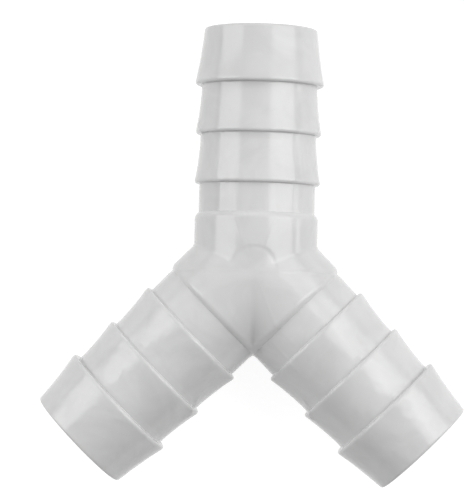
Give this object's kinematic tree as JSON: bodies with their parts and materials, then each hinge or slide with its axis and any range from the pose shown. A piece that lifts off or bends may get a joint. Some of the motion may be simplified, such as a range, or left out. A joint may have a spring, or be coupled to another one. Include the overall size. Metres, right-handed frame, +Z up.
{
  "type": "tubing y connector",
  "caption": "One-piece Y-shaped hose connector with barbed arms, for splitting or joining flexible tubing.",
  "frame": {"origin": "centre of the stem's mouth", "axes": "+Y out of the stem along its passage, +Z up and square to the plane of the arms as the part lies, +X towards the right branch"},
  "size_m": [0.1168, 0.1257, 0.0356],
  "materials": {
    "moulded_plastic": "light grey, smooth and fairly glossy as moulded"
  },
  "bodies": {
    "root": {"y_connector": "moulded_plastic"}
  },
  "joints": []
}
